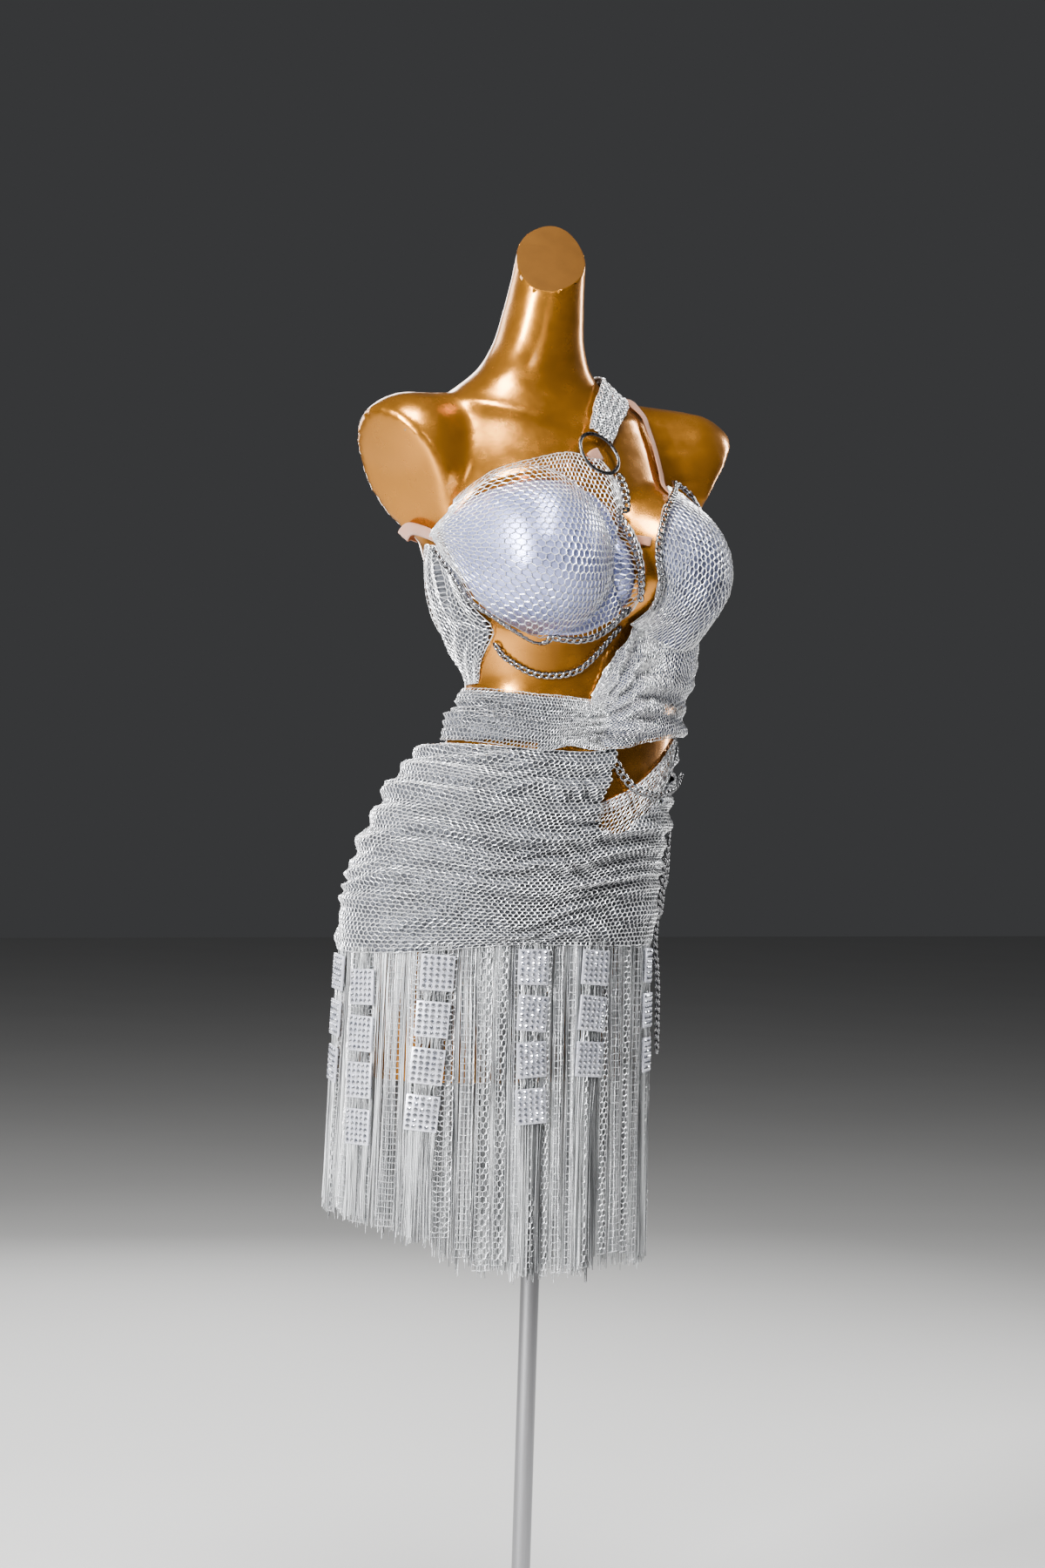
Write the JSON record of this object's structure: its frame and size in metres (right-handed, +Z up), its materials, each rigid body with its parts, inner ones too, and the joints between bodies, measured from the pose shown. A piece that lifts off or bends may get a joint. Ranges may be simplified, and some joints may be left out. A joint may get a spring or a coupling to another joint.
{
  "type": "dance dress on a limbless dress form with a stand",
  "caption": "Short one-shoulder dance dress of draped net with chains and a long fringed skirt, on a limbless dress form with a pole stand.",
  "frame": {"origin": "centre of the base plate's underside, on the pole's axis", "axes": "+Z up along the pole; the dress faces -Y, and its right side, as worn, is towards -X"},
  "size_m": [0.4634, 0.33, 1.5995],
  "materials": {
    "gold_lacquer": "glossy gold lacquer over a moulded shell",
    "brushed_steel": "brushed steel",
    "lavender_satin": "lavender-silver satin",
    "silver_net": "silver metallic net, soft shine",
    "nude_elastic": "matt knitted elastic",
    "silver_thread": "silver metallic thread",
    "stone_trim": "cut glass stones set on thread blocks",
    "dark_chrome": "dark chrome chain",
    "gunmetal": "dark polished ring"
  },
  "bodies": {
    "root": {"base_collar": "brushed_steel", "base_plate": "brushed_steel", "bodice_drape_left": "silver_net", "bodice_net_right": "silver_net", "bra_band": "nude_elastic", "bra_bridge": "nude_elastic", "chain_drape_edge": "dark_chrome", "chain_hip": "dark_chrome", "chain_long": "dark_chrome", "chain_neck_right": "dark_chrome", "chain_swag": "dark_chrome", "chain_underbust": "dark_chrome", "cup_left": "lavender_satin", "cup_right": "lavender_satin", "form_body": "gold_lacquer", "fringe_back": "silver_thread", "fringe_front": "silver_thread", "fringe_left": "silver_thread", "fringe_right": "silver_thread", "hip_wrap": "silver_net", "neck_ring": "gunmetal", "pole": "brushed_steel", "side_net_right": "silver_net", "stone_strip_1": "stone_trim", "stone_strip_10": "stone_trim", "stone_strip_2": "stone_trim", "stone_strip_3": "stone_trim", "stone_strip_4": "stone_trim", "stone_strip_5": "stone_trim", "stone_strip_6": "stone_trim", "stone_strip_7": "stone_trim", "stone_strip_8": "stone_trim", "stone_strip_9": "stone_trim", "strap_elastic_cross": "nude_elastic", "strap_elastic_left": "nude_elastic", "strap_net_left": "silver_net", "tassel_chain_1": "dark_chrome", "tassel_chain_2": "dark_chrome", "tassel_chain_3": "dark_chrome", "waist_band": "silver_net"}
  },
  "joints": []
}
